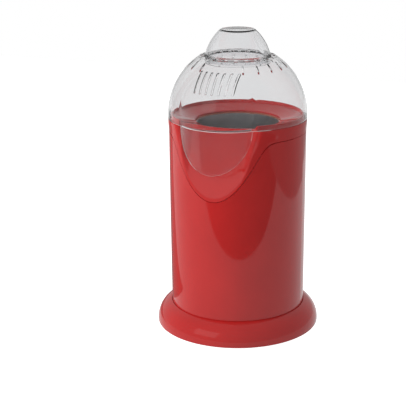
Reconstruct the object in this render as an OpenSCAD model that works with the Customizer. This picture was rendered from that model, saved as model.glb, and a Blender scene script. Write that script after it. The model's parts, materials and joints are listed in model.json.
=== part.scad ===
// Hot-air popcorn maker: a round housing with a clear lift-off cover, a pouring
// chute, a measuring cup as its cap, and a fan, heater and popping chamber inside.
// Millimetres. +Z up, origin on the table under the middle, the chute faces -Y.

/* [Body] */
// Outer diameter of the top band and of the clear cover
rim_d = 152; // [150:0.5:154]
// Height of the face that the clear cover rests on
rim_z = 235.7; // [235:0.1:236.4]
// Height of the top band that shows above the housing
band_h = 13.7; // [12.5:0.1:15]
// Wall thickness of the red shells
wall = 2.2; // [2:0.1:2.6]

/* [Base] */
// Outer diameter of the base ring
base_d = 182; // [178:1:186]
// Radius of the base ring's rounded shoulder
base_round_r = 24; // [23:0.5:26]

/* [Chute] */
// Height of the lowest point of the chute's recess
chute_low_z = 160; // [156:1:165]
// Rise of the chute's floor for each millimetre that it runs inwards
chute_slope = 3.1; // [3:0.05:3.3]
// Width of the recess where it is widest
chute_w = 92; // [90:0.5:96]

/* [Cover] */
// Wall thickness of the clear mouldings
clear_wall = 2; // [1.8:0.1:2.2]
// Height of the lowest point of the clear flap in front of the chute
flap_low_z = 189; // [186:1:196]
// Number of vent slots round the top of the cover
vent_count = 20; // [18:2:22]
// Number of vent slots in the hood over the chute
hood_slot_count = 7; // [5:2:7]

/* [Measuring cup] */
// Height of the cup's closed end
cup_top_z = 331.4; // [328:0.1:334]

/* [Popping chamber] */
// Inner diameter of the popping chamber
chamber_d = 90; // [84:1:90]
// Number of slanted air slots round the foot of the chamber
louvre_count = 24; // [18:6:24]

/* [Fan] */
// Number of fan blades
blade_count = 7; // [5:1:8]

/* [Hidden] */

$fn = 96;
gap = 0.3;                  // clearance between bodies that move apart
cut = 1;                    // how far a cutting shape runs past its face
far = 400;                  // longer than anything in the model

rim_r = rim_d / 2;
housing_top_r = rim_r - 0.6;
housing_low_r = rim_r - 1.4;
band_z = rim_z - band_h;    // foot of the top band
housing_foot_z = 8;
base_r = base_d / 2;
base_foot_z = 1.5;
base_centre_z = 3.5;
ring_wall = 2.4;
ledge_r = housing_low_r - 5;

spigot_r = housing_top_r - wall - 0.2;
inner_ring_r = rim_r - 3.5;
inner_ring_z = 241;
funnel_z = 238;
deck_z = 231.5;             // underside of the deck, where the gasket sits
mouth_r = 46.5;
seam = 1.2;                 // red edge left between the recess and the housing
seam_gap = 0.35;
flare = 9;                  // softness of the bell outline's shoulder

cover_z = rim_z + gap;
dome_z = 239;               // centre height of the big dome
hood_r = 54.5;
hood_y = -27.5;
hood_z = 247;               // centre height of the hood's rounded top
flap_half_w = 40.5;
hood_bead = 0.8;            // how far the hood stands proud of the flap
seat_z = 303;
neck_r = 35.2;
neck_foot_z = 295;

cup_plug_r = neck_r - clear_wall - gap;
cup_seat_z = seat_z + gap;
cup_arc_r = 55;             // side of the cup is a 55 mm arc
cup_arc_x = -18;
cup_arc_z = 290.2;
cup_wall = 1.8;
cup_foot_r = 18.7;
cup_rim_r = 35.9;
cup_flat_tilt = 58;         // slope of the flat on the cup's side, above the horizontal

chamber_r = chamber_d / 2;
chamber_foot_z = 128;
chamber_wall = 1.2;
flange_z = 228.8;
flange_r = 61;
flange_front_y = -49.9;     // the chamber's flange is cut straight behind the chute's floor
deck_screw_r = 57;
can_r = 49.9;
can_wall = 0.8;
can_flange_r = 55.5;
can_screw_r = 52.6;
duct_top_z = 66;
duct_foot_z = 40;
duct_r = 47;
duct_bore_r = 44;
leg_r = 4.2;
leg_place_r = 52;
motor_r = 15.5;
motor_foot_z = 14;
shaft_r = 1.5;
fan_z = 47;
fan_h = 13;
fan_r = 42;

screw_r = 1.35;             // self-tapping screws, with pilot holes a little wider
pilot_r = 1.45;
pass_r = 1.9;               // holes that a screw passes through
head_r = 3;
head_h = 1.8;

base_screw_r = 62;
foot_place_r = 64;
plate_z = 5.2;
plate_h = 2.6;
switch_z = 46.5;
switch_turn = -40;          // the switch sits beside the middle of the back
switch_w = 23;
switch_h = 29;
gland_z = 38;
gland_bore_r = 3.8;
gland_hole_r = 5.6;

red = "#b3211f";
clear = [0.86, 0.88, 0.9, 0.35];
black = "#222324";
steel = "#b9bcbf";
brass = "#c9a24b";

function thirds(start) = [for (i = [0:2]) start + i * 120];
function quarters(start) = [for (i = [0:3]) start + i * 90];
function chute_y(z) = -(housing_top_r - (z - chute_low_z) / chute_slope);
// Height at which the chute's floor meets the housing, x off the middle
function recess_edge(x) =
    chute_low_z + chute_slope * (housing_top_r - sqrt(pow(housing_top_r, 2) - x * x));
// The bell outline: the recess edge, eased into the foot of the top band
function bell(x) =
    let (a = recess_edge(x) - seam, b = band_z)
    a - flare * ln(1 + exp((a - b) / flare));
// The flap's outline: half an ellipse under the hood
function flap_edge(x) = cover_z - (cover_z - flap_low_z) * sqrt(max(0, 1 - pow(x / flap_half_w, 2)));
// A point given by its distance from the axis, its angle and its height
function polar(r, a, z) = [r * cos(a), r * sin(a), z];

module ring(r, bore, h, z = 0) {
    translate([0, 0, z]) difference() {
        cylinder(r = r, h = h);
        translate([0, 0, -cut]) cylinder(r = bore, h = h + 2 * cut);
    }
}

module at(angles, r) {
    for (a = angles) rotate([0, 0, a]) translate([r, 0, 0]) children();
}

// A pan-head screw, its head down and its shank up
module screw_up(z, shank) {
    translate([0, 0, z - head_h]) cylinder(r = head_r, h = head_h, $fn = 32);
    translate([0, 0, z - 0.1]) cylinder(r = screw_r, h = shank + 0.1, $fn = 32);
}

function unit(v) = v / norm(v);
// Direction of a route at its point i
function along(p, i) =
    unit((i > 0 ? unit(p[i] - p[i - 1]) : [0, 0, 0])
         + (i < len(p) - 1 ? unit(p[i + 1] - p[i]) : [0, 0, 0]));
// A direction square to the route at its point i, carried on from the point before
function across(p, i) =
    let (t = along(p, i), s = i == 0 ? [0.36, 0.48, 0.8] : across(p, i - 1))
    unit(s - t * (s * t));

// A wire through a list of points
module wire(points, r) {
    sides = 10;
    last = len(points) - 1;
    rings = [for (i = [0:last]) let (s = across(points, i), b = cross(along(points, i), s))
        for (k = [0:sides - 1]) points[i] + r * (s * cos(360 * k / sides) + b * sin(360 * k / sides))];
    walls = [for (i = [0:last - 1], k = [0:sides - 1])
        let (a = i * sides + k, b = i * sides + (k + 1) % sides)
        each [[a, a + sides, b], [b, a + sides, b + sides]]];
    polyhedron(rings, concat(walls, [[for (k = [0:sides - 1]) k],
                                     [for (k = [0:sides - 1]) (last + 1) * sides - 1 - k]]));
}

// ---- Base ----------------------------------------------------------------

module base_section(shrink) {
    difference() {
        translate([base_r - base_round_r, base_centre_z])
            circle(r = base_round_r - shrink, $fn = 128);
        translate([0, -far]) square([far, far + base_foot_z]);
        translate([-far, -far]) square([far, 2 * far]);
    }
}

module base_ring() color(red) {
    inner_r = housing_low_r + 0.15;
    rotate_extrude() difference() {
        union() {
            difference() {
                base_section(0);
                translate([0, -ring_wall]) base_section(ring_wall);
                translate([0, -far]) square([inner_r, 2 * far]);
            }
            // ledge that the housing and the base plate clamp
            translate([ledge_r, plate_z + plate_h]) square([base_r - ring_wall - 1 - ledge_r, 2]);
        }
        translate([0, housing_foot_z + 1.9]) square([inner_r, far]);
        translate([0, -far]) square([ledge_r, 2 * far]);
    }
}

module base_plate() color(black) {
    slots = 5;
    difference() {
        union() {
            translate([0, 0, plate_z]) cylinder(r = base_r - ring_wall - 6, h = plate_h);
            at(quarters(45), base_screw_r) translate([0, 0, plate_z - 2]) cylinder(r = 6.5, h = 3);
        }
        at(quarters(45), base_screw_r) {
            translate([0, 0, -cut]) cylinder(r = pass_r, h = 20, $fn = 32);
            translate([0, 0, -cut]) cylinder(r = head_r + 0.4, h = plate_z + 1 + cut, $fn = 32);
        }
        at(thirds(30), leg_place_r) {
            translate([0, 0, -cut]) cylinder(r = pass_r, h = 20, $fn = 32);
        }
        // air intake: rows of curved slots
        for (row = [1:slots], side = quarters(45)) rotate([0, 0, side])
            intersection() {
                ring(r = 12 + row * 7, bore = 8.8 + row * 7, h = 20);
                linear_extrude(20) polygon([[0, 0], [80, -56], [80, 56]]);
            }
        // seats of the rubber feet
        at(quarters(0), foot_place_r) translate([0, 0, -cut]) cylinder(r = 3, h = 20, $fn = 32);
    }
}

module rubber_feet() color("#2c2c2e") {
    at(quarters(0), foot_place_r) {
        translate([0, 0, 1]) cylinder(r = 8, h = plate_z - 1);
        cylinder(r1 = 7, r2 = 8, h = 1);
        translate([0, 0, plate_z - 0.1]) cylinder(r = 2.9, h = plate_h + 0.1, $fn = 32);
        translate([0, 0, plate_z + plate_h]) cylinder(r1 = 4.2, r2 = 2.4, h = 2.4, $fn = 32);
    }
}

module base_screws() color(steel) {
    at(quarters(45), base_screw_r) screw_up(plate_z + 1, 14);
}

// ---- Housing -------------------------------------------------------------

module housing_cone(inset, extra = 0) {
    translate([0, 0, housing_foot_z + 2 - extra])
        cylinder(r1 = housing_low_r - inset, r2 = housing_top_r - inset,
                 h = band_z - housing_foot_z - 2 + 2 * extra);
}

module bell_prism(grow) {
    half = 64;
    steps = 16;
    xs = [for (i = [-steps:steps]) half * i / steps];
    side = half + 8;
    head_z = band_z + 30;
    rotate([90, 0, 0]) linear_extrude(far)
        polygon(concat([for (x = xs) [x, bell(x) - grow]],
                       [[side, band_z - grow], [side, head_z],
                        [-side, head_z], [-side, band_z - grow]]));
}

module housing() color(red) {
    difference() {
        union() {
            difference() {
                housing_cone(0);
                housing_cone(wall, cut);
            }
            // flat pad for the switch
            rotate([0, 0, switch_turn]) intersection() {
                translate([-switch_w / 2 - 2, 60, switch_z - switch_h / 2 - 2])
                    cube([switch_w + 4, 16, switch_h + 4]);
                difference() {
                    cylinder(r = 90, h = far);
                    translate([0, 0, -cut]) cylinder(r = 70.5, h = far);
                }
            }
            at(quarters(45), base_screw_r) translate([0, 0, housing_foot_z + 2])
                housing_boss(19);
        }
        bell_prism(seam_gap);
        rotate([0, 0, switch_turn]) translate([-switch_w / 2 + 1.8, 0, switch_z - switch_h / 2 + 1.8])
            cube([switch_w - 3.6, 90, switch_h - 3.6]);
        // eight-sided hole that keeps the gland from turning
        translate([0, 60, gland_z]) rotate([-90, 22.5, 0]) cylinder(r = gland_hole_r / cos(22.5), h = 30, $fn = 8);
    }
}

// Screw post, tied to the wall by a rib
module housing_boss(h) {
    difference() {
        union() {
            cylinder(r = 4, h = h, $fn = 48);
            translate([0, -1, 0]) cube([housing_low_r - base_screw_r - 1, 2, h]);
        }
        translate([0, 0, -cut]) cylinder(r = pilot_r, h = 16 + cut, $fn = 32);
    }
}

// ---- Chute collar --------------------------------------------------------

// The space in front of the chute's floor. A larger back makes it deeper.
module recess(side, back) {
    top_z = 262;
    foot_z = 150;
    translate([-chute_w / 2 - side, 0, 0]) rotate([90, 0, 90]) linear_extrude(chute_w + 2 * side)
        polygon([[chute_y(foot_z) + back, foot_z], [chute_y(top_z) + back, top_z],
                 [-far, top_z], [-far, foot_z]]);
}

module collar_turned() {
    rotate_extrude() polygon([
        [rim_r - 0.6, band_z], [rim_r, band_z + 0.6], [rim_r, rim_z - 0.5],
        [rim_r - 0.5, rim_z], [inner_ring_r, rim_z], [inner_ring_r, inner_ring_z - 0.8],
        [inner_ring_r - 0.8, inner_ring_z], [inner_ring_r - 2, inner_ring_z],
        [inner_ring_r - 2, funnel_z], [mouth_r, deck_z + 2], [mouth_r, deck_z],
        [60, deck_z], [spigot_r - 2, funnel_z - 4], [spigot_r - 2, band_z - 12],
        [spigot_r, band_z - 12], [spigot_r, band_z]]);
}

module chute_collar() color(red) {
    difference() {
        union() {
            collar_turned();
            // the part of the housing's skin that carries the recess
            intersection() {
                difference() {
                    housing_cone(0);
                    housing_cone(wall + 0.2, cut);
                }
                bell_prism(0);
            }
            // floor and side walls of the chute, kept inside the housing
            intersection() {
                recess(wall, wall);
                translate([0, 0, 150]) cylinder(r = housing_low_r - wall - 0.1, h = deck_z + 4 - 150);
                translate([-far / 2, -far, chute_low_z - 6]) cube(far);
            }
            at(thirds(90), deck_screw_r) translate([0, 0, deck_z - 0.5])
                cylinder(r = 3.4, h = 4.2, $fn = 32);
        }
        recess(0, 0);
        at(thirds(90), deck_screw_r) translate([0, 0, deck_z - 2]) cylinder(r = pilot_r, h = 4.8, $fn = 32);
    }
}

// ---- Clear cover ---------------------------------------------------------

module dome_solid(r, foot_z) {
    intersection() {
        union() {
            translate([0, 0, foot_z]) cylinder(r = r, h = dome_z - foot_z);
            translate([0, 0, dome_z]) sphere(r = r, $fn = 144);
        }
        translate([0, 0, foot_z]) cylinder(r = far, h = seat_z - foot_z - (rim_r - r));
    }
}

module hood_solid(r, foot_z) {
    translate([0, hood_y, 0]) {
        translate([0, 0, foot_z]) cylinder(r = r, h = hood_z - foot_z);
        intersection() {
            translate([0, 0, hood_z]) sphere(r = r, $fn = 144);
            translate([0, 0, foot_z]) cylinder(r = far, h = far);
        }
    }
}

module flap() {
    half = flap_half_w;
    steps = 20;
    outline = [for (i = [-steps:steps]) let (x = half * sin(90 * i / steps)) [x, flap_edge(x)]];
    intersection() {
        translate([0, hood_y, 0])
            ring(r = hood_r - hood_bead, bore = hood_r - hood_bead - clear_wall, h = 200, z = 150);
        rotate([90, 0, 0]) linear_extrude(far)
            polygon(concat(outline, [[half, cover_z + 1.5], [-half, cover_z + 1.5]]));
    }
}

module cover_vents() {
    pitch = 360 / vent_count;
    for (i = [1:vent_count - 2]) rotate([0, 0, -90 + (i + 0.5) * pitch])
        translate([46.2, -1, dome_z]) cube([6.8, 2, 90]);
}

module hood_slots() {
    pitch = 7;
    slot_w = 2;
    first = -(hood_slot_count - 1) / 2;
    for (i = [0:hood_slot_count - 1])
        translate([(first + i) * pitch - slot_w / 2, -100, 273]) cube([slot_w, 58, 19]);
}

// Notches under the cup's rim that let the steam out
module seat_notches() {
    at([for (i = [0:vent_count - 1]) i * 360 / vent_count], neck_r - clear_wall - cut)
        translate([0, -2, seat_z - 1]) cube([6.2, 4, 5]);
}

module clear_cover() color(clear) {
    difference() {
        union() {
            dome_solid(rim_r, cover_z);
            intersection() {
                hood_solid(hood_r, cover_z);
                translate([-far / 2, -far, 0]) cube(far);
            }
        }
        dome_solid(rim_r - clear_wall, cover_z - cut);
        intersection() {
            hood_solid(hood_r - clear_wall, cover_z - cut);
            translate([-far / 2, -far - 20, 0]) cube(far);
        }
        translate([0, 0, seat_z - 10]) cylinder(r = neck_r - clear_wall, h = 20);
        cover_vents();
        hood_slots();
        seat_notches();
    }
    ring(r = neck_r, bore = neck_r - clear_wall, h = seat_z - 1 - neck_foot_z, z = neck_foot_z);
    flap();
}

// ---- Measuring cup -------------------------------------------------------

module cup_section(inset, foot_z, top_z) {
    intersection() {
        translate([cup_arc_x, cup_arc_z]) circle(r = cup_arc_r - inset, $fn = 160);
        translate([0, foot_z]) square([60, top_z - foot_z]);
    }
}

// The flat on the cup's side runs from its closed end to its rim
module cup_flat(inset) {
    translate([cup_foot_r - inset, 0, cup_top_z]) rotate([0, cup_flat_tilt, 0])
        translate([-80, -80, 0]) cube([160, 160, 80]);
}

module measuring_cup() color(clear) {
    difference() {
        union() {
            difference() {
                rotate_extrude() cup_section(0, cup_seat_z, cup_top_z);
                cup_flat(0);
            }
            translate([0, 0, cup_seat_z]) cylinder(r = cup_rim_r, h = 1.4);
            translate([0, 0, neck_foot_z + 2]) cylinder(r = cup_plug_r, h = cup_seat_z - neck_foot_z - 2);
        }
        difference() {
            rotate_extrude() cup_section(cup_wall, cup_seat_z + 1.4, cup_top_z - 3);
            cup_flat(cup_wall);
        }
        translate([0, 0, neck_foot_z])
            cylinder(r = cup_plug_r - cup_wall, h = cup_seat_z + 1.5 - neck_foot_z);
        translate([0, 0, cup_top_z - 1.2]) cylinder(r = cup_foot_r - 1.8, h = 10);
    }
}

// ---- Popping chamber and heater --------------------------------------------

module popping_chamber() color("#c9cbcd") {
    corner = 8;
    difference() {
        rotate_extrude() difference() {
            union() {
                chamber_outline(chamber_r + chamber_wall, chamber_foot_z, corner);
                translate([0, flange_z]) square([flange_r, 1.2]);
            }
            chamber_outline(chamber_r, chamber_foot_z + chamber_wall, corner - chamber_wall);
            translate([0, flange_z - 1]) square([chamber_r, 10]);
            translate([-far, 0]) square([far, far]);
        }
        // slanted louvres swirl the hot air round the chamber
        for (i = [0:louvre_count - 1]) rotate([0, 0, i * 360 / louvre_count])
            translate([chamber_r + 0.5, 0, chamber_foot_z + 11]) rotate([0, 0, 55])
                translate([-4, -0.8, 0]) cube([8, 1.6, 13]);
        at(thirds(90), deck_screw_r) translate([0, 0, flange_z - 5]) cylinder(r = pass_r, h = 10, $fn = 32);
        translate([-far / 2, flange_front_y - far, 0]) cube(far);
    }
}

module chamber_outline(r, foot_z, corner) {
    translate([0, foot_z + corner]) square([r, flange_z + 1.2 - foot_z - corner]);
    translate([0, foot_z]) square([r - corner, corner + 1]);
    translate([r - corner, foot_z + corner]) circle(r = corner, $fn = 64);
}

module chamber_gasket() color("#8a4a3a") {
    ring(r = -flange_front_y, bore = mouth_r, h = deck_z - flange_z - 1.2, z = flange_z + 1.2);
}

module chamber_screws() color(steel) {
    at(thirds(90), deck_screw_r) screw_up(flange_z, 5);
}

module heater_can() color("#a9adb1") {
    difference() {
        union() {
            ring(r = can_r, bore = can_r - can_wall, h = flange_z - duct_top_z, z = duct_top_z);
            ring(r = can_flange_r, bore = can_r - can_wall, h = 1, z = duct_top_z);
        }
        at(thirds(90), can_screw_r) translate([0, 0, duct_top_z - 2]) cylinder(r = 1.2, h = 6, $fn = 32);
        // wire holes
        for (a = [0, 180]) rotate([0, 0, a]) wire_hole(low_wire_z);
        for (a = [0, 90]) rotate([0, 0, a]) wire_hole(high_wire_z);
    }
}

module wire_hole(z) {
    translate([can_r - 5, 0, z]) rotate([0, 90, 0]) cylinder(r = 2.2, h = 10, $fn = 32);
}

module can_screws() color(steel) {
    at(thirds(90), can_screw_r) {
        translate([0, 0, duct_top_z + 1]) cylinder(r = 2, h = 1.3, $fn = 32);
        translate([0, 0, duct_top_z - 1.8]) cylinder(r = 1, h = 2.9, $fn = 32);
    }
}

coil_rows = 5;
coil_pitch = 8;
coil_z = 78;
coil_place_r = 40;
board_foot_z = 70;
low_wire_z = 73;
high_wire_z = 100;
board_top_z = 118;

module coil_rings(r) {
    for (i = [0:coil_rows - 1]) translate([0, 0, coil_z + i * coil_pitch])
        rotate_extrude() translate([coil_place_r, 0]) circle(r = r, $fn = 32);
}

module mica_boards() color("#cbb994") {
    board_w = 2 * 46;
    board_t = 1;
    board_h = board_top_z - board_foot_z;
    mid_z = board_foot_z + board_h / 2;
    difference() {
        union() {
            difference() {
                translate([-board_w / 2, -board_t / 2, board_foot_z]) cube([board_w, board_t, board_h]);
                translate([-0.6, -2, mid_z]) cube([1.2, 4, 40]);
            }
            difference() {
                translate([-board_t / 2, -board_w / 2, board_foot_z]) cube([board_t, board_w, board_h]);
                translate([-2, -0.6, mid_z - 40]) cube([4, 1.2, 40.1]);
            }
        }
        coil_rings(2.3);
        // notches that let the wound coil in from the edge
        for (i = [0:coil_rows - 1])
            ring(r = 50, bore = coil_place_r, h = 2, z = coil_z + i * coil_pitch - 1);
    }
}

module heating_coil() color("#6f6a66") coil_rings(2);

module thermostat() color("#d8d4c8") {
    rotate([0, 0, 90]) translate([can_r + 0.1, 0, 176]) rotate([0, 90, 0]) {
        cylinder(r = 8, h = 3);
        translate([0, 0, 2.9]) cylinder(r = 6.6, h = 5);
        for (side = [-1, 1]) translate([-0.4, side * 4 - 1.5, 7.8]) cube([0.8, 3, 6]);
    }
}

fuse_r = can_r + 2.3;

module thermal_fuse() color("#d9c36a") {
    rotate([0, 0, 60]) translate([fuse_r, 0, 150]) {
        cylinder(r = 2, h = 11, $fn = 32);
        translate([0, 0, -8]) cylinder(r = 0.5, h = 8.1, $fn = 24);
        translate([0, 0, 10.9]) cylinder(r = 0.5, h = 8, $fn = 24);
    }
}

// ---- Fan and motor ---------------------------------------------------------

module fan_duct() color("#e4e2dc") {
    difference() {
        union() {
            ring(r = duct_r, bore = duct_bore_r, h = duct_top_z - duct_foot_z, z = duct_foot_z);
            ring(r = can_flange_r + 1, bore = duct_bore_r, h = 2, z = duct_top_z - 2);
            at(thirds(30), leg_place_r) translate([0, 0, plate_z + plate_h])
                cylinder(r = leg_r, h = duct_top_z - plate_z - plate_h - 0.1, $fn = 48);
            at(thirds(30), duct_r - 1) translate([0, -1.2, duct_foot_z])
                cube([leg_place_r - duct_r, 2.4, duct_top_z - duct_foot_z - 1]);
            at(thirds(90), 48) translate([0, 0, duct_foot_z]) cylinder(r = 3.2, h = 12, $fn = 48);
        }
        translate([0, 0, duct_foot_z - cut]) cylinder(r = duct_bore_r, h = far);
        at(thirds(30), leg_place_r) cylinder(r = pilot_r, h = 24, $fn = 32);
        at(thirds(90), 48.6) translate([0, 0, duct_foot_z - cut]) cylinder(r = 1.2, h = 9, $fn = 32);
        at(thirds(90), can_screw_r) translate([0, 0, duct_top_z - 5]) cylinder(r = 1.1, h = 6, $fn = 32);
    }
}

module duct_screws() color(steel) {
    at(thirds(30), leg_place_r) screw_up(plate_z, 14);
}

module motor_bracket() color(steel) {
    difference() {
        union() {
            translate([0, 0, duct_foot_z - 1.5]) cylinder(r = 18, h = 1.5);
            at(thirds(90), 0) translate([10, -4, duct_foot_z - 1.5]) cube([41, 8, 1.5]);
        }
        translate([0, 0, duct_foot_z - 5]) cylinder(r = 4, h = 10, $fn = 48);
        at(thirds(90), 48.6) translate([0, 0, duct_foot_z - 5]) cylinder(r = 1.4, h = 10, $fn = 32);
        at([0, 180], 9) translate([0, 0, duct_foot_z - 5]) cylinder(r = 1.5, h = 10, $fn = 32);
    }
}

module bracket_screws() color(steel) {
    at(thirds(90), 48.6) {
        translate([0, 0, duct_foot_z - 3.1]) cylinder(r = 2.4, h = 1.6, $fn = 32);
        translate([0, 0, duct_foot_z - 1.6]) cylinder(r = 1.1, h = 8, $fn = 32);
    }
}

module motor_case() color("#9fa3a7") {
    top_z = duct_foot_z - 1.5;
    difference() {
        translate([0, 0, motor_foot_z + 2]) cylinder(r = motor_r, h = top_z - motor_foot_z - 2);
        translate([0, 0, motor_foot_z + 1]) cylinder(r = motor_r - 1.2, h = top_z - motor_foot_z - 2.4);
        translate([0, 0, top_z - 5]) cylinder(r = shaft_r + 0.6, h = 10, $fn = 48);
        at([0, 180], 9) translate([0, 0, top_z - 5]) cylinder(r = 1.05, h = 10, $fn = 32);
    }
    ring(r = 3.6, bore = shaft_r + 0.06, h = 1.4, z = top_z - 2.8);
}

module motor_magnets() color("#3a3a3c") {
    difference() {
        ring(r = motor_r - 1.3, bore = 12.1, h = 15, z = motor_foot_z + 5);
        for (a = [0, 180]) rotate([0, 0, a]) linear_extrude(far) polygon([[0, 0], [30, -14], [30, 14]]);
    }
}

module motor_end_cap() color(black) {
    difference() {
        union() {
            translate([0, 0, motor_foot_z]) cylinder(r = motor_r, h = 1.95);
            translate([0, 0, motor_foot_z + 1.9]) cylinder(r = motor_r - 1.3, h = 2);
        }
        translate([0, 0, motor_foot_z - 2]) cylinder(r = shaft_r + 0.06, h = 10, $fn = 48);
    }
    at([0, 180], 10) translate([-0.3, -1.5, motor_foot_z - 1.7]) cube([0.6, 3, 1.8]);
}

module motor_screws() color(steel) {
    at([0, 180], 9) {
        translate([0, 0, duct_foot_z]) cylinder(r = 2, h = 1.2, $fn = 32);
        translate([0, 0, duct_foot_z - 4.4]) cylinder(r = 1, h = 4.5, $fn = 32);
    }
}

module motor_shaft() color(steel) {
    translate([0, 0, motor_foot_z - 1])
        cylinder(r = shaft_r, h = fan_z + fan_h + 4 - motor_foot_z, $fn = 48);
    // armature on the shaft, inside the case
    translate([0, 0, motor_foot_z + 6]) cylinder(r = 11.5, h = 13);
    translate([0, 0, motor_foot_z + 4.2]) cylinder(r = 4, h = 2, $fn = 48);
}

module fan_impeller() color("#3d4043") {
    hub_r = 9;
    blade_t = 1.4;
    blade_pitch = 38;
    difference() {
        union() {
            translate([0, 0, fan_z]) cylinder(r = hub_r, h = fan_h);
            translate([0, 0, fan_z + fan_h / 2]) intersection() {
                cylinder(r = fan_r, h = fan_h, center = true);
                for (i = [0:blade_count - 1]) rotate([blade_pitch, 0, i * 360 / blade_count])
                    translate([hub_r - 2, -14, -blade_t / 2]) cube([fan_r, 28, blade_t]);
            }
        }
        translate([0, 0, fan_z - cut]) cylinder(r = shaft_r, h = far, $fn = 48);
        translate([0, 0, fan_z - cut]) cylinder(r = hub_r - 2.2, h = 4 + cut);
    }
}

module fan_clip() color(steel) {
    ring(r = 4, bore = shaft_r, h = 0.8, z = fan_z + fan_h);
}

module rectifier_board() color("#2f6b46") {
    difference() {
        translate([0, 0, motor_foot_z - 3.4]) cylinder(r = 14, h = 1.4);
        cylinder(r = 3.2, h = 40, $fn = 48);
        at([0, 180], 10) translate([-0.6, -1.9, 0]) cube([1.2, 3.8, 40]);
    }
}

module diodes() color("#1d1d1f") {
    for (x = [-7.5, -2.5, 2.5, 7.5]) translate([x, 5.5, motor_foot_z - 4.8]) rotate([-90, 0, 0])
        cylinder(r = 1.35, h = 5, $fn = 32);
}

module noise_capacitor() color("#b5702c") {
    translate([0, -8.5, motor_foot_z - 4.4]) cylinder(r = 3.6, h = 0.95, $fn = 48);
}

// ---- Electrical parts --------------------------------------------------------

block_x = 12;
block_y = 46;
block_z = plate_z + plate_h;

module terminal_block() color("#e9e7df") {
    difference() {
        translate([block_x, block_y, block_z]) cube([18, 12, 10]);
        for (x = [5, 13]) {
            translate([block_x + x, block_y - cut, block_z + 4]) rotate([-90, 0, 0])
                cylinder(r = 1.7, h = 20, $fn = 32);
            translate([block_x + x, block_y + 6, block_z + 5]) cylinder(r = 1.75, h = 10, $fn = 32);
        }
    }
}

module terminal_screws() color(brass) {
    for (x = [5, 13]) translate([block_x + x, block_y + 6, block_z + 5.8])
        cylinder(r = 1.6, h = 3.6, $fn = 32);
}

rocker_pivot_y = 72.5;
rocker_r = 10.5;
rocker_w = 14;
pin_r = 1.2;
rocker_rest = 9;            // half of the rocker's travel, in degrees

module at_switch() rotate([0, 0, switch_turn]) children();

module switch_body() color(black) at_switch() {
    face_y = 76;
    difference() {
        union() {
            translate([-switch_w / 2, face_y + 0.05, switch_z - switch_h / 2])
                cube([switch_w, 2.2, switch_h]);
            translate([-switch_w / 2 + 2, face_y - 18, switch_z - switch_h / 2 + 2])
                cube([switch_w - 4, 18.2, switch_h - 4]);
        }
        translate([-rocker_w / 2 - 0.5, rocker_pivot_y, switch_z]) rotate([0, 90, 0])
            cylinder(r = rocker_r + 0.5, h = rocker_w + 1);
        translate([-rocker_w / 2 - 0.5, rocker_pivot_y, switch_z - rocker_r - 0.5])
            cube([rocker_w + 1, 20, 2 * rocker_r + 1]);
        translate([0, rocker_pivot_y, switch_z]) rotate([0, 90, 0])
            cylinder(r = pin_r + 0.06, h = switch_w, center = true, $fn = 48);
    }
}

module switch_rocker() color("#1b1b1c") at_switch() {
    translate([0, rocker_pivot_y, switch_z]) rotate([-rocker_rest, 0, 0]) difference() {
        intersection() {
            rotate([0, 90, 0]) translate([0, 0, -rocker_w / 2]) cylinder(r = rocker_r, h = rocker_w);
            translate([-20, -4, -20]) cube([40, 40, 40]);
        }
        // shallow V face: one half stands out, the other lies flush
        for (side = [-1, 1]) rotate([side * rocker_rest, 0, 0])
            translate([-20, 7.4, side > 0 ? 0 : -30]) cube([40, 20, 30]);
    }
    translate([0, rocker_pivot_y, switch_z]) rotate([0, 90, 0])
        cylinder(r = pin_r, h = rocker_w + 3, center = true, $fn = 48);
}

module switch_terminals() color(brass) at_switch() {
    for (z = [-7, 7]) translate([-2.4, 51, switch_z + z - 0.4]) cube([4.8, 7, 0.8]);
}

module cord_gland() color(black) {
    difference() {
        translate([0, 0, gland_z]) rotate([-90, 0, 0]) union() {
            translate([0, 0, 66]) cylinder(r = 5.4, h = 10);
            translate([0, 0, 74.8]) cylinder(r = 8.5, h = 2.6);
            translate([0, 0, 77.3]) cylinder(r1 = 7.4, r2 = 6, h = 3);
        }
        translate([0, 60, gland_z]) rotate([-90, 0, 0]) cylinder(r = gland_bore_r, h = 40);
    }
}

module gland_nut() color(black) {
    translate([0, 0, gland_z]) rotate([-90, 0, 0]) difference() {
        translate([0, 0, 68.7]) cylinder(r = 8.4, h = 3.2, $fn = 6);
        translate([0, 0, 60]) cylinder(r = 5.5, h = 20);
    }
}

wire_r = 1.1;
thin_wire_r = 0.8;
switch_a = 90 + switch_turn;
block_wire_z = block_z + 4;

module mains_wires() color("#7a4a2c") {
    wire([[-1.7, 64, gland_z + 1], [-2, 60.5, gland_z + 1], polar(58, 74, 36),
          polar(51, 58, 36), polar(49.7, switch_a, switch_z - 7)], wire_r);
    wire([[1.7, 64, gland_z - 1], [3, 61.5, 31], [17, 63, 20], [17, 61, block_wire_z],
          [17, 54, block_wire_z]], wire_r);
}

module motor_wires() color("#b0302b") {
    for (side = [-1, 1])
        wire([[side * 12, -2.4, 12.9], [side * 19, -4, 12.9], [side * 26, -4, 18], [side * 52, -2, 34],
              [side * 64, 0, 46], [side * 64, 0, low_wire_z - 3], [side * 60, 0, low_wire_z],
              [side * 46.9, 0, low_wire_z]], thin_wire_r);
}

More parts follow.
